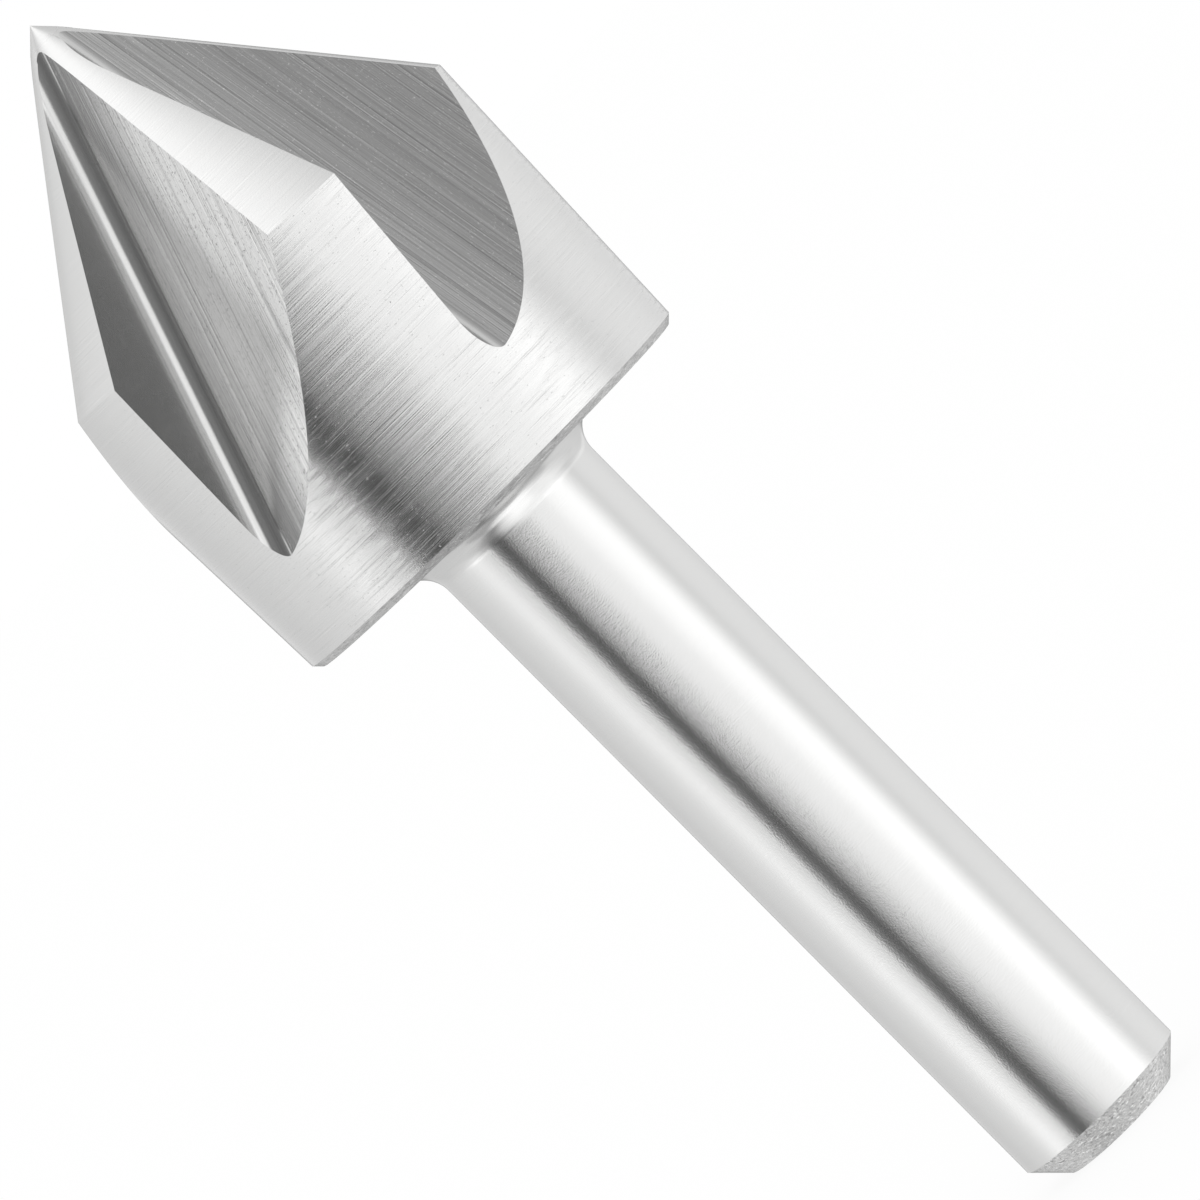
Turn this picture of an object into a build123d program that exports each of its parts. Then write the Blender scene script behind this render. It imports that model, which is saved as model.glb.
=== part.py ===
"""Countersink bit: five cutting edges on a tapered head, with a plain round shank.

One piece of tool steel. The shank end is the origin, the tool's axis is +Z, and the point is up.
Lengths are in millimetres and angles in degrees. The tool turns anticlockwise seen from the point.
"""

from build123d import *
from math import degrees, radians, sin, tan
import os

# ---- Driving dimensions: the turned form ----
overall_length = 48.65      # shank end to the very tip
shank_diameter = 6.35       # quarter-inch shank, for a drill chuck
shank_length = 27.95        # shank end to the back face of the head
shank_chamfer = 1.0         # 45 degree lead at the shank end
neck_radius = 1.1           # concave radius where the shank runs into the head
head_diameter = 16.5        # over the corners of the cutting edges
back_taper = 2.0            # per side: the head is smaller at its back, so that it doesn't rub
rear_chamfer = 0.25         # small 45 degree chamfer round the back of the head
tip_angle = 88.0            # included angle of the blunt centre that the flutes leave standing
tip_radius = 0.58           # radius at which the blunt centre gives way to the lands

# ---- Driving dimensions: lands and flutes ----
teeth = 5
first_edge = -65.5          # azimuth of the first cutting edge, from +X
point_angle = 78.8          # included angle over the cutting edges
land_angle = 20.4           # width of each conical land at the corner, round the axis
land_relief = 1.6           # how steeply each land drops away behind its cutting edge
radial_rake = 7.15          # how far the rake face hooks forward at the corner
axial_rake = 3.9            # how far the rake face leans from the axis, trailing towards the shank
wall_slope = 23.7           # rise of the flute's broad wall, from the axis
wall_facing = -3.7          # azimuth that the broad wall faces, from its own cutting edge
valley_radius = 0.6         # rounding of the flute's bottom

# ---- Worked out from the above ----
pitch = 360 / teeth
shank_radius = shank_diameter / 2
head_radius = head_diameter / 2
edge_slope = tan(radians(point_angle / 2))
tip_slope = tan(radians(tip_angle / 2))
taper_slope = tan(radians(back_taper))
land_apex = overall_length - tip_radius / tip_slope + tip_radius / edge_slope
corner_height = land_apex - head_radius / edge_slope
land_lean = degrees(tan(radians(land_relief)) * sin(radians(point_angle)) / 2)
overrun = 1.0               # how far each grinding tool runs past the metal
edge_margin = 1.0           # how far a land's grinding runs past its cutting edge, round the axis


def body_radius(height: float) -> float:
    """Radius of the tapered head at a height above the shank end."""
    return head_radius - (corner_height - height) * taper_slope


def turned_blank() -> Part:
    """Shank, neck, tapered head and blunt point, as they leave the lathe."""
    rear_top = shank_length + rear_chamfer
    # the tapered side meets the blunt cone a little above the finished corner
    shoulder_height = (overall_length * tip_slope - body_radius(0)) / (tip_slope + taper_slope)
    profile = Polyline(
        (0, 0),
        (shank_radius - shank_chamfer, 0),
        (shank_radius, shank_chamfer),
        (shank_radius, shank_length),
        (body_radius(rear_top) - rear_chamfer, shank_length),
        (body_radius(rear_top), rear_top),
        (body_radius(shoulder_height), shoulder_height),
        (0, overall_length),
        (0, 0),
    )
    section = make_face(profile)
    neck = section.vertices().sort_by_distance((shank_radius, shank_length))[0]
    section = fillet(neck, neck_radius)
    return revolve(Plane.XZ * section, Axis.Z)


def land_grind() -> Part:
    """What is ground off the first land: all that stands proud of a cone leaning forward."""
    base = corner_height - overrun
    cone_depth = overall_length
    leaning_cone = Pos(0, 0, land_apex) * Rot(X=-land_lean) * Cone(
        bottom_radius=cone_depth * edge_slope,
        top_radius=0,
        height=cone_depth,
        align=(Align.CENTER, Align.CENTER, Align.MAX),
    )
    sector = Pos(0, 0, base) * Rot(Z=edge_margin - pitch) * Cylinder(
        radius=head_radius + overrun,
        height=overall_length + overrun - base,
        arc_size=pitch,
        align=(Align.NONE, Align.NONE, Align.MIN),
    )
    return sector - leaning_cone


def flute_cutter() -> Part:
    """Form of the wheel that grinds the flute ahead of the first cutting edge, along its whole path.

    Its section is two straight walls and a rounded bottom, the same all along the valley, which is
    the line where the two walls would meet.
    """
    edge_corner = Vector(head_radius, 0, corner_height)
    heel_corner = edge_corner.rotate(Axis.Z, pitch - land_angle)
    rake_normal = Vector(0, 1, 0).rotate(Axis.X, -axial_rake).rotate(Axis.Z, radial_rake)
    wall_normal = Vector(1, 0, 0).rotate(Axis.Y, -wall_slope).rotate(Axis.Z, wall_facing)
    rake_face = Plane(edge_corner, z_dir=rake_normal)
    broad_wall = Plane(heel_corner, z_dir=wall_normal)
    valley = rake_face.intersect(broad_wall)
    opening = 180 - rake_normal.get_angle(wall_normal)

    reach = head_diameter
    along_rake = Vector(1, 0)
    along_wall = along_rake.rotate(Axis.Z, opening)
    bisector = along_rake.rotate(Axis.Z, opening / 2)
    seat = valley_radius / tan(radians(opening / 2))
    crown = valley_radius / sin(radians(opening / 2)) - valley_radius
    bottom = ThreePointArc(along_rake * seat, bisector * crown, along_wall * seat)
    walls = Polyline(bottom @ 1, along_wall * reach, along_rake * reach, bottom @ 0)

    start = valley.intersect(Plane.XY.offset(overall_length + overrun))
    end = valley.intersect(Plane.XY.offset(shank_length))
    outward = valley.direction.cross(rake_normal)
    across = Plane(end, x_dir=outward, z_dir=-valley.direction)
    return extrude(across * make_face(bottom + walls), amount=(start - end).length)


def countersink() -> Part:
    """The finished tool: the blank, relieved and fluted once for each cutting edge."""
    tool = turned_blank()
    grind = land_grind()
    cutter = flute_cutter()
    for tooth in range(teeth):
        turn = Rot(Z=first_edge + tooth * pitch)
        tool -= turn * grind
        tool -= turn * cutter
    return tool


if __name__ == "__main__":
    os.makedirs("parts", exist_ok=True)
    bit = countersink()
    bit.label = "countersink_bit"
    export_step(bit, "parts/countersink_bit.step")
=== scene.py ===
"""Countersink bit in ground tool steel, standing on its shank in a white studio.

Sizes of the bit are in millimetres and angles in degrees, as on its drawing, and become metres where
a mesh is made. The bit's axis is +Z, and an azimuth counts anticlockwise from +X seen from the point.
"""

import logging
import math
from collections.abc import Callable
from dataclasses import dataclass, field
from enum import IntEnum
from typing import ClassVar

import bmesh
import bpy
from mathutils import Matrix, Vector


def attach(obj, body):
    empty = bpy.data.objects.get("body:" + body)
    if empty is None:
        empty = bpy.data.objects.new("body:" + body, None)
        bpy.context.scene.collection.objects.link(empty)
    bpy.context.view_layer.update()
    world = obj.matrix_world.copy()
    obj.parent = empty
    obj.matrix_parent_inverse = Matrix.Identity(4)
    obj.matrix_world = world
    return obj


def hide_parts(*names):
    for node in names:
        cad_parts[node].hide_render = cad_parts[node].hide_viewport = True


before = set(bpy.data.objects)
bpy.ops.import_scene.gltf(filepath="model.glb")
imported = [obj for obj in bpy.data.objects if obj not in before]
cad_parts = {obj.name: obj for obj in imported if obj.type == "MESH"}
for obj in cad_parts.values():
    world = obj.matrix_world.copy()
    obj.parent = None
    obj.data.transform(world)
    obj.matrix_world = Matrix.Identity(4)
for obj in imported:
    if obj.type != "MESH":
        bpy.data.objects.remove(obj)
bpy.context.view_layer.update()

MM = 0.001
MICRON = 1e-6
ON_AXIS = 1e-6  # a place nearer to the axis than this has no direction of its own
NODE = "countersink_bit"
BODY = "root"

log = logging.getLogger("countersink")


def around(angle: float) -> Vector:
    """Unit vector square to the axis at an azimuth.

    Args:
        angle: azimuth in degrees.

    Returns:
        The horizontal unit vector.
    """
    turn = math.radians(angle)
    return Vector((math.cos(turn), math.sin(turn), 0.0))


def put(name: str, data: bpy.types.ID) -> bpy.types.Object:
    """Puts a mesh or a camera in the scene.

    Args:
        name: name of the new object.
        data: the mesh or camera.

    Returns:
        The object.
    """
    item = bpy.data.objects.new(name, data)
    bpy.context.scene.collection.objects.link(item)
    return item


class Surface(IntEnum):
    """The bit's surfaces by how each was machined. The number is the surface's material slot."""

    END = 0
    END_CHAMFER = 1
    SHANK = 2
    NECK = 3
    BACK = 4
    BACK_CHAMFER = 5
    SIDE = 6
    LAND = 7
    POINT = 8
    RAKE = 9
    VALLEY = 10
    WALL = 11


# ---------------------------------------------------------------- finishes


@dataclass(frozen=True)
class GroundSteel:
    """Bare tool steel with the marks that a wheel or a lathe leaves.

    The marks are a relief in microns: long fine lines, broader bands of them, an even grain between
    the lines, and a few pits. The colour carries painted shade in the grooves of the fine lines and
    painted highlight on their ridges. The numbers in capitals are the same for every finish.

    Attributes:
        name: name of the material.
        colour: reflectance of the clean metal.
        roughness: how rough the metal is below what the relief shows.
        anisotropy: 0 for an even gloss, 1 for gloss drawn out across the lines.
        line_pitch: spacing of the finest lines, mm.
        line_length: how far a fine line goes before it fades, mm.
        line_run: how straight the lines are: the way along which they keep their place, mm.
        line_depth: depth of the fine lines, microns.
        band_pitch: spacing of the broader bands of lines, mm.
        band_depth: depth of the broader bands, microns.
        grain_size: size of the grain, mm.
        grain_depth: depth of the grain, microns.
        pit_size: size of a pit, mm.
        pit_depth: depth of the pits, microns, or 0 for none.
        pit_rarity: 0 for pits everywhere, 1 for hardly any.
        groove_shade_swing: painted shade and highlight along the fine lines: how much darker their
        grooves and lighter their ridges are, as a share.
    """

    GLOSS_TURN: ClassVar[float] = 0.25  # in whole turns: draws the gloss out across the marks
    EDGE_TINT: ClassVar[float] = 0.78  # reflectance at a grazing angle
    FINE_OCTAVES: ClassVar[float] = 3.0
    BROAD_OCTAVES: ClassVar[float] = 2.0
    PIT_OCTAVES: ClassVar[float] = 1.0
    OCTAVE_GAIN: ClassVar[float] = 0.6  # how much each finer octave of the noise counts
    PATCH_PITCHES: ClassVar[float] = 3.0  # width of a patch of lines that fades as one, in line pitches
    PATCH_FADE: ClassVar[tuple[float, float]] = (0.35, 0.65)  # noise where the lines go, and are whole
    LINE_MIDDLE: ClassVar[float] = 0.5
    LINE_SWING: ClassVar[float] = 0.2  # how far the broken lines swing about 0
    PIT_LENGTH: ClassVar[float] = 1.6  # length of a pit along the marks, in widths
    PIT_FADE: ClassVar[tuple[float, float]] = (0.5, 0.58)  # noise at the rim and the floor of a pit
    PIT_RANGE: ClassVar[float] = 0.22  # how far rarity moves both

    name: str
    colour: tuple[float, float, float] = (0.64, 0.64, 0.636)
    roughness: float = 0.16
    anisotropy: float = 0.6
    line_pitch: float = 0.045
    line_length: float = 1.0
    line_run: float = 40.0
    line_depth: float = 1.0
    band_pitch: float = 0.25
    band_depth: float = 1.0
    grain_size: float = 0.06
    grain_depth: float = 0.3
    pit_size: float = 0.06
    pit_depth: float = 0.0
    pit_rarity: float = 0.8
    # painted shade in the grooves and painted highlight on the ridges of the fine lines
    groove_shade_swing: float = 0.04

    def material(self) -> bpy.types.Material:
        """Builds the node material.

        Returns:
            The material, ready for a slot.
        """
        mat = bpy.data.materials.new(self.name)
        mat.use_nodes = True
        tree = mat.node_tree
        shader = tree.nodes["Principled BSDF"]
        shader.inputs["Metallic"].default_value = 1.0
        shader.inputs["Roughness"].default_value = self.roughness
        shader.inputs["Anisotropic"].default_value = self.anisotropy
        shader.inputs["Anisotropic Rotation"].default_value = self.GLOSS_TURN
        shader.inputs["Specular Tint"].default_value = (self.EDGE_TINT,) * 3 + (1.0,)
        lay = tree.nodes.new("ShaderNodeAttribute")
        lay.attribute_name = "lay"
        grain = tree.nodes.new("ShaderNodeAttribute")
        grain.attribute_name = "grain"
        tree.links.new(grain.outputs["Vector"], shader.inputs["Tangent"])
        lines = self._noise(tree, lay, self.line_pitch, self.line_run, self.FINE_OCTAVES)
        fine = self._broken(tree, lay, lines)
        bands = self._noise(tree, lay, self.band_pitch, self.line_run, self.BROAD_OCTAVES)
        even = self._noise(tree, lay, self.grain_size, self.grain_size, self.BROAD_OCTAVES)
        relief = [(fine, self.line_depth), (bands, self.band_depth), (even, self.grain_depth)]
        if self.pit_depth > 0:
            relief.append((self._pits(tree, lay), -self.pit_depth))
        tree.links.new(self._bump(tree, relief), shader.inputs["Normal"])
        # The base colour holds painted shade in the grooves of the fine lines and painted highlight on their
        # ridges.
        tree.links.new(self._groove_shaded_colour(tree, fine), shader.inputs["Base Color"])
        return mat

    @classmethod
    def _noise(
        cls, tree: bpy.types.NodeTree, lay: bpy.types.Node, pitch: float, length: float, detail: float
    ) -> bpy.types.NodeSocket:
        """Noise drawn out along the tool marks.

        Args:
            tree: node tree of the material.
            lay: attribute node that gives (along, along, across) in metres.
            pitch: spacing across the marks, mm.
            length: length of a mark, mm.
            detail: octaves of the noise.

        Returns:
            The noise value's socket, from 0 to 1.
        """
        scale = tree.nodes.new("ShaderNodeMapping")
        scale.inputs["Scale"].default_value = (1 / (length * MM), 1 / (length * MM), 1 / (pitch * MM))
        noise = tree.nodes.new("ShaderNodeTexNoise")
        noise.inputs["Scale"].default_value = 1.0
        noise.inputs["Detail"].default_value = detail
        noise.inputs["Roughness"].default_value = cls.OCTAVE_GAIN
        tree.links.new(lay.outputs["Vector"], scale.inputs["Vector"])
        tree.links.new(scale.outputs["Vector"], noise.inputs["Vector"])
        return noise.outputs["Fac"]

    @staticmethod
    def _ramp(
        tree: bpy.types.NodeTree, value: bpy.types.NodeSocket, given: tuple[float, float],
        wanted: tuple[float, float] = (0.0, 1.0),
    ) -> bpy.types.NodeSocket:
        """Stretches one range of a value to another, and clamps what lies outside.

        Args:
            tree: node tree of the material.
            value: the value.
            given: the range that is read.
            wanted: what it becomes.

        Returns:
            The new value's socket.
        """
        ramp = tree.nodes.new("ShaderNodeMapRange")
        for name, level in zip(("From Min", "From Max", "To Min", "To Max"), given + wanted):
            ramp.inputs[name].default_value = level
        tree.links.new(value, ramp.inputs["Value"])
        return ramp.outputs["Result"]

    def _broken(
        self, tree: bpy.types.NodeTree, lay: bpy.types.Node, lines: bpy.types.NodeSocket
    ) -> bpy.types.NodeSocket:
        """Lets straight lines come and go along their run.

        Args:
            tree: node tree of the material.
            lay: attribute node of the lay coordinates.
            lines: the unbroken lines, from 0 to 1.

        Returns:
            The socket of the broken lines, which swing about 0.
        """
        width = self.line_pitch * self.PATCH_PITCHES
        drift = self._noise(tree, lay, width, self.line_length, self.BROAD_OCTAVES)
        patches = self._ramp(tree, drift, self.PATCH_FADE)
        centred = tree.nodes.new("ShaderNodeMath")
        centred.operation = "SUBTRACT"
        centred.inputs[1].default_value = self.LINE_MIDDLE
        both = tree.nodes.new("ShaderNodeMath")
        both.operation = "MULTIPLY"
        tree.links.new(lines, centred.inputs[0])
        tree.links.new(centred.outputs["Value"], both.inputs[0])
        tree.links.new(patches, both.inputs[1])
        return both.outputs["Value"]

    def _pits(self, tree: bpy.types.NodeTree, lay: bpy.types.Node) -> bpy.types.NodeSocket:
        """Scattered pits.

        Args:
            tree: node tree of the material.
            lay: attribute node of the lay coordinates.

        Returns:
            The socket of a value that is 0 on sound metal and 1 in a pit.
        """
        spots = self._noise(tree, lay, self.pit_size, self.pit_size * self.PIT_LENGTH, self.PIT_OCTAVES)
        rim, floor = (level + self.PIT_RANGE * self.pit_rarity for level in self.PIT_FADE)
        return self._ramp(tree, spots, (rim, floor))

    def _groove_shaded_colour(self, tree: bpy.types.NodeTree, lines: bpy.types.NodeSocket) -> bpy.types.NodeSocket:
        """Colours the metal: painted shade in the grooves of the lines, painted highlight on their ridges.

        Args:
            tree: node tree of the material.
            lines: the lines, which swing about 0.

        Returns:
            The colour's socket.
        """
        # Painted shade where the lines dip, painted highlight where they rise.
        shades = (1.0 - self.groove_shade_swing, 1.0 + self.groove_shade_swing)
        groove_shade_factor = self._ramp(tree, lines, (-self.LINE_SWING, self.LINE_SWING), shades)
        tint = tree.nodes.new("ShaderNodeMix")
        tint.data_type = "RGBA"
        tint.blend_type = "MULTIPLY"
        tint.inputs["Factor"].default_value = 1.0
        tint.inputs["A"].default_value = (*self.colour, 1.0)
        tree.links.new(groove_shade_factor, tint.inputs["B"])
        return tint.outputs["Result"]

    @staticmethod
    def _bump(
        tree: bpy.types.NodeTree, relief: list[tuple[bpy.types.NodeSocket, float]]
    ) -> bpy.types.NodeSocket:
        """Normal of a relief.

        Args:
            tree: node tree of the material.
            relief: values from 0 to 1, each with the depth that it stands for in microns.

        Returns:
            The normal's socket.
        """
        height: bpy.types.NodeSocket | None = None
        for value, depth in relief:
            step = tree.nodes.new("ShaderNodeMath")
            step.operation = "MULTIPLY_ADD"
            tree.links.new(value, step.inputs[0])
            step.inputs[1].default_value = depth
            step.inputs[2].default_value = 0.0
            if height is not None:
                tree.links.new(height, step.inputs[2])
            height = step.outputs["Value"]
        bump = tree.nodes.new("ShaderNodeBump")
        bump.inputs["Strength"].default_value = 1.0
        bump.inputs["Distance"].default_value = MICRON
        tree.links.new(height, bump.inputs["Height"])
        return bump.outputs["Normal"]


# A finish's shade swing is painted shade in the grooves of its fine lines and painted highlight on their
# ridges, strongest on the wall and the two chamfers.
FINISHES: dict[Surface, GroundSteel] = {
    Surface.END: GroundSteel("turned_end", roughness=0.34, line_pitch=0.09, line_depth=4.0),
    Surface.END_CHAMFER: GroundSteel(
        "turned_end_chamfer", roughness=0.2, anisotropy=0.0, line_pitch=0.07, line_length=0.3,
        line_run=0.15, line_depth=12.0, grain_size=0.06, grain_depth=14.0, pit_size=0.08, pit_depth=12.0,
        pit_rarity=0.3, groove_shade_swing=0.6,
    ),
    Surface.SHANK: GroundSteel(
        "ground_shank", roughness=0.18, anisotropy=0.1, line_length=0.25, line_depth=3.0,
        band_depth=0.8, grain_depth=4.0, groove_shade_swing=0.03,
    ),
    Surface.NECK: GroundSteel(
        "ground_neck", roughness=0.19, anisotropy=0.2, line_length=0.3, line_depth=2.5, band_depth=2.0,
    ),
    Surface.BACK: GroundSteel("turned_back", roughness=0.28, line_pitch=0.08, line_depth=4.0),
    Surface.BACK_CHAMFER: GroundSteel(
        "turned_back_chamfer", colour=(0.52, 0.52, 0.517), roughness=0.22, anisotropy=0.0,
        line_pitch=0.06, line_length=0.3, line_run=0.4, line_depth=4.0, grain_depth=6.0, pit_size=0.05,
        pit_depth=10.0, pit_rarity=0.3, groove_shade_swing=0.4,
    ),
    Surface.SIDE: GroundSteel(
        "ground_side", roughness=0.21, anisotropy=0.88, line_pitch=0.04, line_length=1.6, line_depth=17.0,
        band_pitch=0.2, band_depth=10.0, grain_size=0.05, grain_depth=2.0, pit_depth=8.0, pit_rarity=1.0,
        groove_shade_swing=0.06,
    ),
    Surface.LAND: GroundSteel(
        "ground_land", roughness=0.2, anisotropy=0.5, line_length=0.8, line_depth=3.3, band_depth=1.5,
        grain_depth=2.5, groove_shade_swing=0.06,
    ),
    Surface.POINT: GroundSteel("ground_point", roughness=0.28, anisotropy=0.2, line_length=0.4),
    Surface.RAKE: GroundSteel(
        "ground_rake", roughness=0.2, line_length=2.0, line_depth=1.5, band_depth=1.0, groove_shade_swing=0.05,
    ),
    Surface.VALLEY: GroundSteel(
        "ground_valley", roughness=0.2, line_length=4.0, line_depth=4.0, band_pitch=0.2, band_depth=3.0,
        groove_shade_swing=0.08,
    ),
    Surface.WALL: GroundSteel(
        "ground_wall", roughness=0.18, anisotropy=0.7, line_pitch=0.042, line_length=4.0, line_depth=5.5,
        band_pitch=0.2, band_depth=3.0, grain_depth=1.2, pit_depth=24.0, pit_rarity=0.78, groove_shade_swing=0.55,
    ),
}


# ---------------------------------------------------------------- the bit


@dataclass(frozen=True)
class BitSizes:
    """Driving dimensions of the bit, the same as its solid's, in millimetres and degrees."""

    overall_length: float = 48.65
    shank_diameter: float = 6.35
    shank_length: float = 27.95
    shank_chamfer: float = 1.0
    neck_radius: float = 1.1
    head_diameter: float = 16.5
    back_taper: float = 2.0
    rear_chamfer: float = 0.25
    tip_angle: float = 88.0
    tip_radius: float = 0.58
    teeth: int = 5
    first_edge: float = -65.5
    point_angle: float = 78.8
    land_angle: float = 20.4
    land_relief: float = 1.6
    radial_rake: float = 7.15
    axial_rake: float = 3.9
    wall_slope: float = 23.7
    wall_facing: float = -3.7
    valley_radius: float = 0.6
    edge_margin: float = 1.0
    overrun: float = 1.0

    @property
    def pitch(self) -> float:
        """Angle from tooth to tooth."""
        return 360.0 / self.teeth

    @property
    def shank_radius(self) -> float:
        """Radius of the shank."""
        return self.shank_diameter / 2

    @property
    def head_radius(self) -> float:
        """Radius over the corners of the cutting edges."""
        return self.head_diameter / 2

    @property
    def edge_slope(self) -> float:
        """Radius gained for each millimetre down the cutting edge."""
        return math.tan(math.radians(self.point_angle / 2))

    @property
    def tip_slope(self) -> float:
        """Radius gained for each millimetre down the blunt centre."""
        return math.tan(math.radians(self.tip_angle / 2))

    @property
    def land_apex(self) -> float:
        """Height at which the lands would meet the axis."""
        return self.overall_length - self.tip_radius / self.tip_slope + self.tip_radius / self.edge_slope

    @property
    def corner_height(self) -> float:
        """Height of the corners of the cutting edges."""
        return self.land_apex - self.head_radius / self.edge_slope

    @property
    def land_lean(self) -> float:
        """How far the cone of each land leans towards its cutting edge."""
        relief = math.tan(math.radians(self.land_relief))
        return math.degrees(relief * math.sin(math.radians(self.point_angle)) / 2)

    @property
    def taper_slope(self) -> float:
        """Radius lost for each millimetre towards the back of the head."""
        return math.tan(math.radians(self.back_taper))

    def side_radius(self, height: float) -> float:
        """Radius of the tapered side.

        Args:
            height: height above the shank end.

        Returns:
            The radius there.
        """
        return self.head_radius - (self.corner_height - height) * self.taper_slope


@dataclass(frozen=True)
class Profile:
    """Half outline of the turned and relieved bit at one azimuth.

    Attributes:
        points: (radius, height) from the shank end to the very tip.
        surfaces: the surface that each stretch between two points belongs to.
    """

    points: list[tuple[float, float]]
    surfaces: list[Surface]


@dataclass
class ReliefLands:
    """The five conical lands, each ground to a cone that leans towards its cutting edge."""

    sizes: BitSizes

    def tooth(self, azimuth: float) -> int:
        """Tooth whose land a given azimuth lies on.

        Args:
            azimuth: azimuth of the place.

        Returns:
            The tooth's number.
        """
        ahead = self.sizes.first_edge + self.sizes.edge_margin - azimuth
        return round(-(ahead // self.sizes.pitch)) % self.sizes.teeth

    def axis(self, tooth: int) -> Vector:
        """Upward axis of one tooth's cone.

        Args:
            tooth: the tooth's number.

        Returns:
            Unit vector from the base of the cone to its apex.
        """
        lean = Matrix.Rotation(math.radians(-self.sizes.land_lean), 3, "X") @ Vector((0, 0, 1))
        turn = math.radians(self.sizes.first_edge + tooth * self.sizes.pitch)
        return Matrix.Rotation(turn, 3, "Z") @ lean

    def slope(self, azimuth: float, tooth: int) -> float:
        """Radius gained for each millimetre below the apex along one azimuth.

        Args:
            azimuth: azimuth of the line on the cone.
            tooth: the tooth whose cone it is.

        Returns:
            The slope of that line.
        """
        axis = self.axis(tooth)
        outward = axis.dot(around(azimuth))
        limit = math.cos(math.radians(self.sizes.point_angle / 2)) ** 2
        # (z - s*outward)^2 = limit * (1 + s^2), the line that makes the cone's half angle with its axis
        a = outward**2 - limit
        b = -2 * axis.z * outward
        c = axis.z**2 - limit
        return (-b - math.sqrt(b * b - 4 * a * c)) / (2 * a)

    def normal(self, place: Vector) -> Vector:
        """Outward normal of the land at a place on it.

        Args:
            place: the place, mm.

        Returns:
            The unit normal.
        """
        axis = self.axis(self.tooth(math.degrees(math.atan2(place.y, place.x))))
        from_apex = place - Vector((0, 0, self.sizes.land_apex))
        across = (from_apex - axis * from_apex.dot(axis)).normalized()
        half = math.radians(self.sizes.point_angle / 2)
        return across * math.cos(half) + axis * math.sin(half)


@dataclass
class Blank:
    """The bit before its flutes are cut: shank, neck, head, relieved lands and blunt point.

    Attributes:
        sizes: the bit's dimensions.
        lands: its relieved lands.
        columns: facets round the axis.
        neck_steps: facets of the neck's radius.
    """

    sizes: BitSizes
    lands: ReliefLands
    columns: int = 360
    neck_steps: int = 16

    def profile(self, azimuth: float) -> Profile:
        """Outline at one azimuth.

        Args:
            azimuth: azimuth of the half plane.

        Returns:
            Its points and what each stretch is.
        """
        s = self.sizes
        rear = s.shank_length + s.rear_chamfer
        land = self.lands.slope(azimuth, self.lands.tooth(azimuth))
        corner = (land * s.land_apex - s.side_radius(0)) / (land + s.taper_slope)
        blunt = (s.tip_slope * s.overall_length - land * s.land_apex) / (s.tip_slope - land)
        points = [
            (0.0, 0.0),
            (s.shank_radius - s.shank_chamfer, 0.0),
            (s.shank_radius, s.shank_chamfer),
        ]
        surfaces = [Surface.END, Surface.END_CHAMFER]
        for step in range(self.neck_steps + 1):
            turn = math.pi / 2 * step / self.neck_steps
            points.append(
                (
                    s.shank_radius + s.neck_radius * (1 - math.cos(turn)),
                    s.shank_length - s.neck_radius * (1 - math.sin(turn)),
                )
            )
            surfaces.append(Surface.SHANK if step == 0 else Surface.NECK)
        points += [
            (s.side_radius(rear) - s.rear_chamfer, s.shank_length),
            (s.side_radius(rear), rear),
            (s.side_radius(corner), corner),
            (land * (s.land_apex - blunt), blunt),
            (0.0, s.overall_length),
        ]
        surfaces += [Surface.BACK, Surface.BACK_CHAMFER, Surface.SIDE, Surface.LAND, Surface.POINT]
        return Profile(points, surfaces)

    def mesh(self) -> bpy.types.Mesh:
        """Spins the profile round the axis.

        Returns:
            A closed mesh in metres, each face in its surface's material slot.
        """
        work = bmesh.new()
        azimuths = [self.sizes.first_edge + 360.0 * column / self.columns for column in range(self.columns)]
        profiles = [self.profile(azimuth) for azimuth in azimuths]
        surfaces = profiles[0].surfaces
        bottom = work.verts.new((0, 0, 0))
        top = work.verts.new((0, 0, self.sizes.overall_length * MM))
        rings = [
            [work.verts.new((around(azimuth) * r + Vector((0, 0, z))) * MM) for r, z in profile.points[1:-1]]
            for azimuth, profile in zip(azimuths, profiles)
        ]
        for left, right in zip(rings, rings[1:] + rings[:1]):
            self._face(work, (bottom, right[0], left[0]), surfaces[0])
            self._face(work, (left[-1], right[-1], top), surfaces[-1])
            for row, surface in enumerate(surfaces[1:-1]):
                self._face(work, (left[row], right[row], right[row + 1], left[row + 1]), surface)
        mesh = bpy.data.meshes.new("blank")
        work.to_mesh(mesh)
        work.free()
        return mesh

    @staticmethod
    def _face(work: bmesh.types.BMesh, corners: tuple[bmesh.types.BMVert, ...], surface: Surface) -> None:
        """Adds one face.

        Args:
            work: the mesh in the making.
            corners: its corners, anticlockwise from outside.
            surface: the surface that it belongs to.
        """
        work.faces.new(corners).material_index = surface


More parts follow.
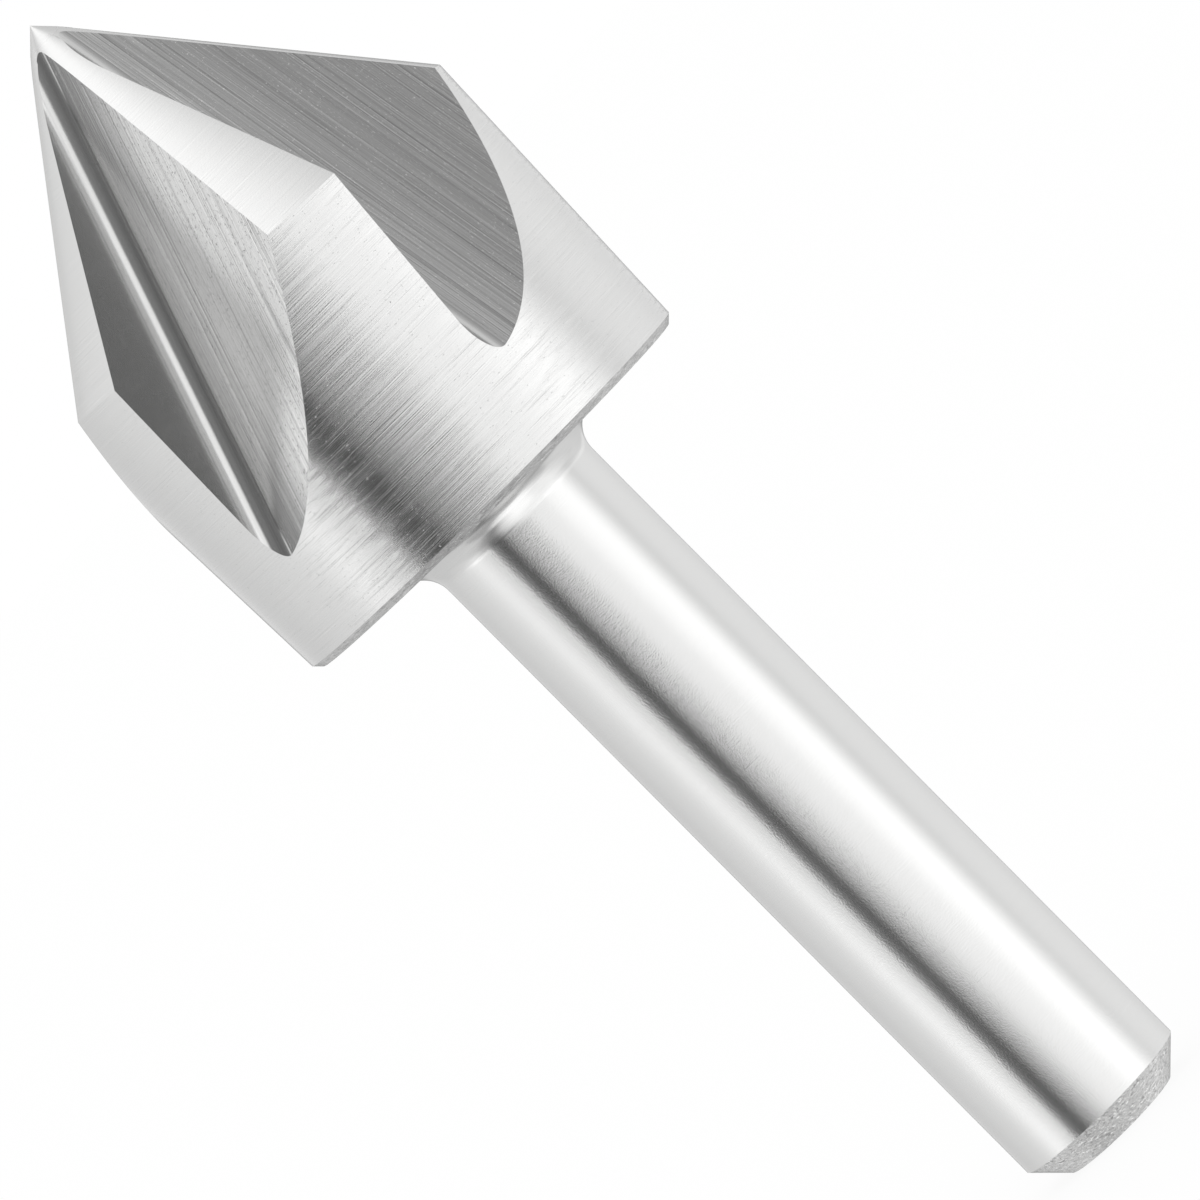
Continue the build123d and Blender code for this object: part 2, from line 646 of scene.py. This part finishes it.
@dataclass
class Flute:
    """The groove ahead of one cutting edge: a rake face, a rounded valley and a broad wall.

    Attributes:
        sizes: the bit's dimensions.
        tooth: number of the tooth that it belongs to.
        arc_steps: facets of the valley's rounding.
        foot_width: width of the wall's foot, over which it eases into the valley, mm.
        foot_bend: how far the wall's sheen has turned towards the valley at the bottom of its foot.
    """

    sizes: BitSizes
    tooth: int
    arc_steps: int = 14
    foot_width: float = 2.6
    foot_bend: float = 9.0
    rake_normal: Vector = field(init=False)
    wall_normal: Vector = field(init=False)
    valley: Vector = field(init=False)
    origin: Vector = field(init=False)

    def __post_init__(self) -> None:
        """Works out the two walls and the line in which they would meet."""
        s = self.sizes
        edge = Vector((s.head_radius, 0, s.corner_height))
        heel = Matrix.Rotation(math.radians(s.pitch - s.land_angle), 3, "Z") @ edge
        tilt = Matrix.Rotation(math.radians(-s.axial_rake), 3, "X")
        hook = Matrix.Rotation(math.radians(s.radial_rake), 3, "Z")
        rise = Matrix.Rotation(math.radians(-s.wall_slope), 3, "Y")
        face = Matrix.Rotation(math.radians(s.wall_facing), 3, "Z")
        rake = hook @ tilt @ Vector((0, 1, 0))
        wall = face @ rise @ Vector((1, 0, 0))
        system = Matrix((rake, wall, Vector((0, 0, 1))))
        floor = system.inverted() @ Vector((rake.dot(edge), wall.dot(heel), 0))
        turn = Matrix.Rotation(math.radians(s.first_edge + self.tooth * s.pitch), 3, "Z")
        along = rake.cross(wall).normalized()
        along *= math.copysign(1.0, along.z)
        self.rake_normal = turn @ rake
        self.wall_normal = turn @ wall
        self.valley = turn @ along
        self.origin = turn @ floor

    @property
    def opening(self) -> float:
        """Angle between the two walls, in radians."""
        return math.pi - self.rake_normal.angle(self.wall_normal)

    @property
    def bend(self) -> Vector:
        """From the line in which the walls would meet to the centre of the valley's rounding, mm."""
        bisector = (self.rake_normal + self.wall_normal).normalized()
        return bisector * (self.sizes.valley_radius / math.sin(self.opening / 2))

    @property
    def seat(self) -> float:
        """Distance from the line in which the walls would meet to where each wall begins, mm."""
        return self.sizes.valley_radius / math.tan(self.opening / 2)

    def at_height(self, height: float) -> Vector:
        """Point of the line in which the walls would meet.

        Args:
            height: height above the shank end.

        Returns:
            The point, mm.
        """
        return self.origin + self.valley * ((height - self.origin.z) / self.valley.z)

    def _section(self, height: float, reach: float) -> list[Vector]:
        """Points of the section across the valley, from the rake face's far end to the wall's.

        Args:
            height: height of the section's floor.
            reach: how far the walls run.

        Returns:
            The points, mm.
        """
        floor = self.at_height(height)
        out_rake = self.rake_normal.cross(self.valley)
        out_rake *= math.copysign(1.0, out_rake.dot(self.wall_normal))
        out_wall = self.wall_normal.cross(self.valley)
        out_wall *= math.copysign(1.0, out_wall.dot(self.rake_normal))
        points = [floor + out_rake * reach]
        for step in range(self.arc_steps + 1):
            share = step / self.arc_steps
            turn = share * (math.pi - self.opening)
            toward = Matrix.Rotation(turn, 3, self.rake_normal.cross(self.wall_normal)) @ self.rake_normal
            points.append(floor + self.bend - toward * self.sizes.valley_radius)
        points.append(floor + out_wall * (self.seat + self.foot_width))
        points.append(floor + out_wall * reach)
        return points

    def cutter(self) -> bpy.types.Mesh:
        """Form of the wheel's path, to be taken away from the blank.

        Returns:
            A closed mesh in metres.
        """
        s = self.sizes
        reach = s.head_diameter
        start, end = s.overall_length + s.overrun, s.shank_length
        work = bmesh.new()
        upper, lower = (
            [work.verts.new(point * MM) for point in self._section(height, reach)] for height in (start, end)
        )
        strips = [Surface.RAKE] + [Surface.VALLEY] * self.arc_steps + [Surface.WALL] * 3
        for column, surface in enumerate(strips):
            after = (column + 1) % len(strips)
            face = work.faces.new((upper[column], upper[after], lower[after], lower[column]))
            face.material_index = surface
        work.faces.new(upper[::-1]).material_index = Surface.WALL
        work.faces.new(lower).material_index = Surface.WALL
        bmesh.ops.recalc_face_normals(work, faces=work.faces)
        mesh = bpy.data.meshes.new(f"flute_{self.tooth}")
        work.to_mesh(mesh)
        work.free()
        return mesh

    def wall_sheen(self, place: Vector) -> Vector:
        """Normal that the broad wall is shaded with.

        Args:
            place: a place on the wall, mm.

        Returns:
            The unit normal, which eases towards the rake face along the wall's foot.
        """
        hinge = self.wall_normal.cross(self.rake_normal).normalized()
        out = hinge.cross(self.wall_normal)
        away = abs((place - self.origin).dot(out)) - self.seat
        share = min(max(1.0 - away / self.foot_width, 0.0), 1.0)
        return Matrix.Rotation(math.radians(self.foot_bend) * share, 3, hinge) @ self.wall_normal

    def toward_centre(self, place: Vector) -> Vector:
        """From a place straight to the axis of the valley's rounding.

        Args:
            place: the place, mm.

        Returns:
            The vector, square to the valley, mm.
        """
        toward = self.origin + self.bend - place
        return toward - self.valley * toward.dot(self.valley)


@dataclass
class CountersinkBit:
    """The finished bit: its mesh, its exact normals and the lay of its tool marks."""

    sizes: BitSizes = field(default_factory=BitSizes)
    name: str = "ground_bit"
    lands: ReliefLands = field(init=False)
    flutes: list[Flute] = field(init=False)

    def __post_init__(self) -> None:
        """Makes the lands and the flutes from the sizes."""
        self.lands = ReliefLands(self.sizes)
        self.flutes = [Flute(self.sizes, tooth) for tooth in range(self.sizes.teeth)]

    def build(self) -> bpy.types.Object:
        """Cuts the flutes into the blank and dresses the result.

        Returns:
            The piece, riding on the bit's body and standing for its solid.
        """
        finishes = [FINISHES[surface].material() for surface in Surface]
        mesh = self._flute(Blank(self.sizes, self.lands).mesh(), finishes)
        self._dress(mesh)
        piece = put(self.name, mesh)
        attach(piece, BODY)
        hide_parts(NODE)
        log.info("%s: %d faces", piece.name, len(mesh.polygons))
        return piece

    def _flute(self, blank: bpy.types.Mesh, finishes: list[bpy.types.Material]) -> bpy.types.Mesh:
        """Takes the flutes away from the blank.

        Args:
            blank: the mesh before its flutes.
            finishes: a material for each surface, in the order of their numbers.

        Returns:
            The fluted mesh.
        """
        stock = put("stock", blank)
        wheels = [put("wheel", flute.cutter()) for flute in self.flutes]
        for item in [stock, *wheels]:
            for material in finishes:
                item.data.materials.append(material)
        for wheel in wheels:
            cut = stock.modifiers.new("cut", "BOOLEAN")
            cut.operation = "DIFFERENCE"
            cut.solver = "EXACT"
            cut.material_mode = "INDEX"
            cut.object = wheel
        depsgraph = bpy.context.evaluated_depsgraph_get()
        mesh = bpy.data.meshes.new_from_object(stock.evaluated_get(depsgraph))
        for item in [stock, *wheels]:
            bpy.data.meshes.remove(item.data)
        mesh.name = self.name
        return mesh

    def _dress(self, mesh: bpy.types.Mesh) -> None:
        """Gives the mesh its exact normals, and the lay and grain that its finishes read.

        Args:
            mesh: the fluted mesh.
        """
        normals = [Vector((0, 0, 1))] * len(mesh.loops)
        lay = [0.0] * (3 * len(mesh.loops))
        grain = [0.0] * (3 * len(mesh.loops))
        for face in mesh.polygons:
            face.use_smooth = True
            surface = Surface(face.material_index)
            normal_of = self._normal_of(surface, face)
            marks = self._marks_of(surface, face)
            for corner in face.loop_indices:
                place = mesh.vertices[mesh.loops[corner].vertex_index].co
                normals[corner] = normal_of(place / MM)
                span = slice(3 * corner, 3 * corner + 3)
                lay[span], grain[span] = marks(place)
        for name, values in (("lay", lay), ("grain", grain)):
            mesh.attributes.new(name, "FLOAT_VECTOR", "CORNER").data.foreach_set("vector", values)
        mesh.normals_split_custom_set(normals)

    def _flute_of(self, face: bpy.types.MeshPolygon) -> Flute:
        """Flute that a face was cut by.

        Args:
            face: a face of a flute.

        Returns:
            The flute whose surfaces come nearest to it.
        """
        surface = Surface(face.material_index)
        place = face.center / MM

        def miss(flute: Flute) -> float:
            """How far the face is from lying on a flute's surface and facing its way.

            Args:
                flute: the flute.

            Returns:
                0 for a face that lies on it, in mm for the distance and in cosine for the facing.
            """
            if surface is Surface.VALLEY:
                toward = flute.toward_centre(place)
                off = toward.length - self.sizes.valley_radius
                return abs(off) + 1 - toward.normalized().dot(face.normal)
            flat = flute.rake_normal if surface is Surface.RAKE else flute.wall_normal
            return abs(flat.dot(place - flute.origin)) + 1 - flat.dot(face.normal)

        return min(self.flutes, key=miss)

    def _normal_of(self, surface: Surface, face: bpy.types.MeshPolygon) -> Callable[[Vector], Vector]:
        """Exact normal as a function of the place.

        Args:
            surface: what the face belongs to.
            face: the face.

        Returns:
            A function from a place in mm to the unit normal there.
        """
        s = self.sizes
        if surface in (Surface.RAKE, Surface.WALL, Surface.VALLEY):
            flute = self._flute_of(face)
            if surface is Surface.VALLEY:
                return lambda place: flute.toward_centre(place).normalized()
            if surface is Surface.WALL:
                return flute.wall_sheen
            return lambda place: flute.rake_normal
        if surface in (Surface.END, Surface.BACK):
            return lambda place: Vector((0, 0, -1))
        if surface is Surface.LAND:
            return self.lands.normal
        if surface is Surface.NECK:
            return self._neck_normal
        rise = {
            Surface.SHANK: 0.0,
            Surface.SIDE: -math.radians(s.back_taper),
            Surface.END_CHAMFER: -math.pi / 4,
            Surface.BACK_CHAMFER: -math.pi / 4,
            Surface.POINT: math.radians(s.tip_angle / 2),
        }[surface]
        middle = face.center

        def turned(place: Vector) -> Vector:
            """Normal of a turned surface that rises by a fixed angle.

            Args:
                place: a place on it, mm.

            Returns:
                The unit normal.
            """
            flat = Vector((place.x, place.y, 0))
            if flat.length < ON_AXIS:
                flat = Vector((middle.x, middle.y, 0))
            return flat.normalized() * math.cos(rise) + Vector((0, 0, math.sin(rise)))

        return turned

    def _neck_normal(self, place: Vector) -> Vector:
        """Normal of the concave neck.

        Args:
            place: a place on it, mm.

        Returns:
            The unit normal.
        """
        s = self.sizes
        out = Vector((place.x, place.y, 0)).normalized()
        centre = out * (s.shank_radius + s.neck_radius) + Vector((0, 0, s.shank_length - s.neck_radius))
        return (centre - place).normalized()

    def _marks_of(
        self, surface: Surface, face: bpy.types.MeshPolygon
    ) -> Callable[[Vector], tuple[Vector, Vector]]:
        """Lay coordinates and grain direction as a function of the place.

        Args:
            surface: what the face belongs to.
            face: the face.

        Returns:
            A function from a place in metres to (along, along, across) in metres and the unit
            vector that the marks follow.
        """
        if surface in (Surface.RAKE, Surface.WALL, Surface.VALLEY):
            flute = self._flute_of(face)
            normal = flute.rake_normal if surface is Surface.RAKE else flute.wall_normal
            across = normal.cross(flute.valley).normalized()
            shift = flute.tooth * self.sizes.head_diameter * MM

            def fluted(place: Vector) -> tuple[Vector, Vector]:
                """Marks that run down the flute.

                Args:
                    place: a place on it, m.

                Returns:
                    Its lay coordinates and the direction of the marks.
                """
                return (
                    Vector((place.dot(flute.valley), place.dot(normal) + shift, place.dot(across))),
                    flute.valley,
                )

            return fluted

        middle = face.center
        flat_face = surface in (Surface.END, Surface.BACK)

        def turned(place: Vector) -> tuple[Vector, Vector]:
            """Marks that run round the axis.

            Args:
                place: a place on the turned surface, m.

            Returns:
                Its lay coordinates and the direction of the marks.
            """
            out = Vector((place.x, place.y, 0))
            if out.length < ON_AXIS:
                out = Vector((middle.x, middle.y, 0))
            across = out.length if flat_face else place.z
            return Vector((place.x, place.y, across)), Vector((-out.y, out.x, 0)).normalized()

        return turned


# ---------------------------------------------------------------- the studio


@dataclass(frozen=True)
class Panel:
    """A curved wall of the light tent, seen only in the gloss of the metal.

    Attributes:
        name: name of the wall.
        low: elevation of its lower edge.
        high: elevation of its upper edge.
        stops: pairs of a bearing, from the camera's side (-Y) towards +X, and the brightness there,
            where 1 is white. The brightness grades evenly from stop to stop.
        rise: how much brighter its upper edge is than its lower.
        distance: distance from the bit, m.
    """

    COLUMNS_PER_DEGREE: ClassVar[int] = 2
    DEGREES_PER_ROW: ClassVar[float] = 4.0
    MIN_ROWS: ClassVar[int] = 2

    name: str
    low: float
    high: float
    stops: tuple[tuple[float, float], ...]
    rise: float = 0.0
    distance: float = 0.6

    def level(self, bearing: float) -> float:
        """Brightness of the wall.

        Args:
            bearing: bearing of the place.

        Returns:
            The brightness, where 1 is white.
        """
        for (left, first), (right, second) in zip(self.stops, self.stops[1:]):
            if bearing <= right:
                return first + (second - first) * (bearing - left) / (right - left)
        return self.stops[-1][1]

    def build(self, centre: Vector) -> bpy.types.Object:
        """Makes the wall as part of a sphere round the bit.

        Args:
            centre: middle of the tent, m.

        Returns:
            The wall.
        """
        start, end = self.stops[0][0], self.stops[-1][0]
        across = round(self.COLUMNS_PER_DEGREE * (end - start))
        up = max(self.MIN_ROWS, round((self.high - self.low) / self.DEGREES_PER_ROW))
        work = bmesh.new()
        glow = work.verts.layers.float.new("glow")
        rows = []
        for row in range(up + 1):
            elevation = math.radians(self.low + (self.high - self.low) * row / up)
            ring = []
            for column in range(across + 1):
                bearing = start + (end - start) * column / across
                spot = around(bearing - 90.0) * math.cos(elevation) + Vector((0, 0, math.sin(elevation)))
                vertex = work.verts.new(centre + spot * self.distance)
                vertex[glow] = self.level(bearing) + self.rise * row / up
                ring.append(vertex)
            rows.append(ring)
        for lower, upper in zip(rows, rows[1:]):
            for column in range(across):
                work.faces.new((lower[column], lower[column + 1], upper[column + 1], upper[column]))
        mesh = bpy.data.meshes.new(self.name)
        work.to_mesh(mesh)
        work.free()
        mesh.materials.append(self._material())
        panel = put(self.name, mesh)
        for ray in ("camera", "diffuse", "shadow", "transmission", "volume_scatter"):
            setattr(panel, f"visible_{ray}", False)
        return panel

    def _material(self) -> bpy.types.Material:
        """Light as strong as the wall's own brightness.

        Returns:
            The glowing material.
        """
        mat = bpy.data.materials.new(self.name)
        mat.use_nodes = True
        tree = mat.node_tree
        tree.nodes.remove(tree.nodes["Principled BSDF"])
        light = tree.nodes.new("ShaderNodeEmission")
        glow = tree.nodes.new("ShaderNodeAttribute")
        glow.attribute_name = "glow"
        tree.links.new(glow.outputs["Fac"], light.inputs["Strength"])
        tree.links.new(light.outputs["Emission"], tree.nodes["Material Output"].inputs["Surface"])
        return mat


# The dark stretches of the walls are what the polished metal shows as its dark stripes.
TENT: tuple[Panel, ...] = (
    Panel(
        "lower_wall", -10.0, 1.0,
        (
            (-180, 1.15), (-136, 0.98), (-104, 1.05), (-88, 1.17), (-76, 1.33), (-66, 1.25), (-58, 1.06),
            (-53, 0.96), (-51.7, 1.55), (-50.3, 1.55), (-49, 0.36), (-45, 0.32), (-41, 0.3), (-37.5, 0.16),
            (-32, 0.13), (-28.5, 0.32), (-25, 0.62), (-16, 0.92), (-8, 1.12), (0, 1.24), (8, 1.3),
            (32, 1.3), (42, 1.5), (64, 1.65), (72, 1.4), (80, 1.15), (88, 0.98), (96, 1.12), (130, 1.18),
            (180, 1.15),
        ),
    ),
    Panel(
        "middle_wall", 1.0, 16.0,
        (
            (-180, 1.1), (-120, 0.95), (-104, 1.03), (-88, 1.14), (-76, 1.33), (-70, 1.35), (-62, 1.2),
            (-53, 1.0), (-51.7, 1.9), (-50.3, 1.9), (-49, 0.2), (-42, 0.06), (-36, 0.03), (0, 0.03),
            (6, 0.5), (11, 1.0), (15, 1.25), (32, 1.35), (44, 1.5), (60, 1.6), (70, 1.45), (78, 1.15),
            (88, 0.98), (96, 1.12), (110, 1.25), (180, 1.18),
        ),
    ),
    Panel(
        "upper_wall", 16.0, 29.0,
        (
            (-180, 1.0), (-135, 1.0), (-124, 1.3), (-115, 1.5), (-110, 1.3), (-103, 0.8), (-97, 0.3),
            (-60, 0.12), (13, 0.12), (17, 1.4), (42, 1.2), (50, 0.45), (64, 0.5), (80, 0.8), (110, 0.95),
            (180, 0.98),
        ),
    ),
    Panel(
        "cornice", 29.0, 54.0,
        (
            (-180, 0.98), (-130, 1.1), (-115, 1.2), (-105, 0.7), (-98, 0.25), (-50, 0.18), (-14, 0.27),
            (20, 0.3), (40, 0.35), (56, 0.43), (76, 0.56), (86, 0.65), (100, 0.9), (180, 0.98),
        ),
    ),
    Panel(
        "rail", -15.0, -10.0,
        (
            (-180, 1.08), (-130, 0.95), (-100, 1.05), (-88, 1.35), (-76, 1.9), (-66, 1.8), (-58, 1.5),
            (-51, 1.4), (-49, 0.25), (-42, 0.1), (-17, 0.1), (-10, 0.5), (-3, 0.9), (4, 1.25),
            (20, 1.6), (60, 2.1), (72, 1.7), (90, 1.2), (120, 1.35), (180, 1.25),
        ),
    ),
    Panel(
        "dado", -30.0, -15.0,
        (
            (-180, 1.0), (-130, 0.92), (-100, 1.0), (-76, 1.2), (-66, 1.0), (-58, 0.7), (-50, 0.55),
            (-48, 0.25), (-34, 0.22), (-27, 0.6), (-20, 0.95), (-10, 1.25), (0, 1.45), (20, 1.4),
            (60, 1.45), (76, 1.2), (90, 0.95), (120, 1.05), (180, 1.02),
        ),
    ),
    Panel(
        "skirting", -60.0, -30.0,
        (
            (-180, 0.95), (-120, 0.92), (-90, 0.95), (-70, 0.85), (-60, 0.6), (-50, 0.4), (-40, 0.3),
            (-34, 0.45), (-24, 1.0), (-12, 1.35), (0, 1.6), (24, 1.6), (42, 1.35), (68, 1.4), (90, 1.15),
            (120, 0.98), (145, 1.05), (180, 0.98),
        ),
    ),
    Panel(
        "floor_edge", -80.0, -60.0,
        (
            (-180, 0.85), (-130, 0.7), (-105, 0.6), (-66, 0.5), (-54, 0.8), (-40, 1.3), (0, 1.7), (40, 1.6),
            (70, 1.15), (105, 0.82), (130, 0.72), (180, 0.85),
        ),
    ),
    Panel("under", -90.0, -80.0, ((-180, 0.68), (180, 0.68))),
    Panel(
        "rear_screen", -35.0, 29.0,
        ((164, 1.1), (170, 0.6), (176, 0.28), (184, 0.28), (190, 0.6), (196, 1.1)),
        distance=0.55,
    ),
    Panel("ceiling_slope", 58.0, 78.0, ((-180, 0.9), (180, 0.9)), rise=0.65),
    Panel("ceiling", 78.0, 90.0, ((-180, 1.62), (180, 1.62))),
)


@dataclass
class Studio:
    """White room: a pale floor, an even white surround and the tent's panels.

    Attributes:
        floor_size: width of the floor, m.
        floor_cells: cells along each side of it.
        floor_colour: its paint.
        floor_glow: share of plain white in what the camera sees of it, so that it looks white.
        panels: the walls and ceilings of the tent.
    """

    floor_size: float = 6.0
    floor_cells: int = 8
    floor_colour: tuple[float, float, float] = (0.97, 0.97, 0.97)
    floor_glow: float = 0.9
    panels: tuple[Panel, ...] = TENT

    def build(self, centre: Vector) -> None:
        """Sets up the room.

        Args:
            centre: middle of the tent, m.
        """
        self._surround()
        self._floor()
        for panel in self.panels:
            panel.build(centre)
            log.info("%s: elevation %.0f to %.0f", panel.name, panel.low, panel.high)
        bpy.context.scene.view_settings.view_transform = "Standard"

    @staticmethod
    def _surround() -> None:
        """Lights everything from a plain white surround."""
        world = bpy.data.worlds.new("white_surround")
        world.use_nodes = True
        background = world.node_tree.nodes["Background"]
        background.inputs["Color"].default_value = (1.0, 1.0, 1.0, 1.0)
        background.inputs["Strength"].default_value = 1.0
        bpy.context.scene.world = world

    def _floor(self) -> None:
        """Lays the floor that the bit stands on."""
        work = bmesh.new()
        cells = self.floor_cells
        bmesh.ops.create_grid(work, x_segments=cells, y_segments=cells, size=self.floor_size / 2)
        mesh = bpy.data.meshes.new("floor")
        work.to_mesh(mesh)
        work.free()
        mesh.materials.append(self._floor_material())
        floor = put("floor", mesh)
        floor.visible_glossy = False

    def _floor_material(self) -> bpy.types.Material:
        """White floor that keeps the bit's soft shadow.

        Returns:
            The material.
        """
        mat = bpy.data.materials.new("floor_white")
        mat.use_nodes = True
        tree = mat.node_tree
        tree.nodes.remove(tree.nodes["Principled BSDF"])
        paint = tree.nodes.new("ShaderNodeBsdfDiffuse")
        paint.inputs["Color"].default_value = (*self.floor_colour, 1.0)
        glow = tree.nodes.new("ShaderNodeEmission")
        seen = tree.nodes.new("ShaderNodeLightPath")
        share = tree.nodes.new("ShaderNodeMath")
        share.operation = "MULTIPLY"
        share.inputs[1].default_value = self.floor_glow
        mix = tree.nodes.new("ShaderNodeMixShader")
        tree.links.new(seen.outputs["Is Camera Ray"], share.inputs[0])
        tree.links.new(share.outputs["Value"], mix.inputs["Fac"])
        tree.links.new(paint.outputs["BSDF"], mix.inputs[1])
        tree.links.new(glow.outputs["Emission"], mix.inputs[2])
        tree.links.new(mix.outputs["Shader"], tree.nodes["Material Output"].inputs["Surface"])
        return mat


@dataclass(frozen=True)
class ProductCamera:
    """Long lens on the -Y side, rolled so that the bit lies across the picture.

    Attributes:
        distance: from the lens to the point that it aims at, mm.
        elevation: how far the camera stands above the horizontal.
        roll: how far the picture is turned.
        aim_side: where it aims, along X, mm.
        aim_height: where it aims, above the shank end, mm.
        picture_width: width of the picture at the aim, mm.
        sensor: width of the sensor, mm.
        clip: nearest and farthest that it sees, m.
    """

    distance: float = 350.0
    elevation: float = 2.775
    roll: float = 44.818
    aim_side: float = -0.0138
    aim_height: float = 23.30
    picture_width: float = 37.678
    sensor: float = 36.0
    clip: tuple[float, float] = (0.01, 20.0)

    def build(self) -> bpy.types.Object:
        """Sets the camera up and makes it the scene's.

        Returns:
            The camera.
        """
        lens = bpy.data.cameras.new("camera")
        lens.sensor_width = self.sensor
        lens.lens = self.sensor * self.distance / self.picture_width
        lens.clip_start, lens.clip_end = self.clip
        camera = put("camera", lens)
        lift = math.radians(self.elevation)
        turn = math.radians(self.roll)
        back = Vector((0, -math.cos(lift), math.sin(lift)))
        level = Vector((1, 0, 0))
        above = Vector((0, math.sin(lift), math.cos(lift)))
        right = level * math.cos(turn) - above * math.sin(turn)
        up = level * math.sin(turn) + above * math.cos(turn)
        place = (Vector((self.aim_side, 0, self.aim_height)) + back * self.distance) * MM
        rotation = Matrix((right, up, back)).transposed()
        camera.matrix_world = Matrix.Translation(place) @ rotation.to_4x4()
        bpy.context.scene.camera = camera
        return camera


def main() -> None:
    """Builds the bit, the studio and the camera."""
    logging.basicConfig(level=logging.INFO, format="%(name)s %(message)s")
    bit = CountersinkBit()
    bit.build()
    Studio().build(Vector((0, 0, bit.sizes.overall_length / 2 * MM)))
    ProductCamera().build()


if __name__ == "__main__":
    main()
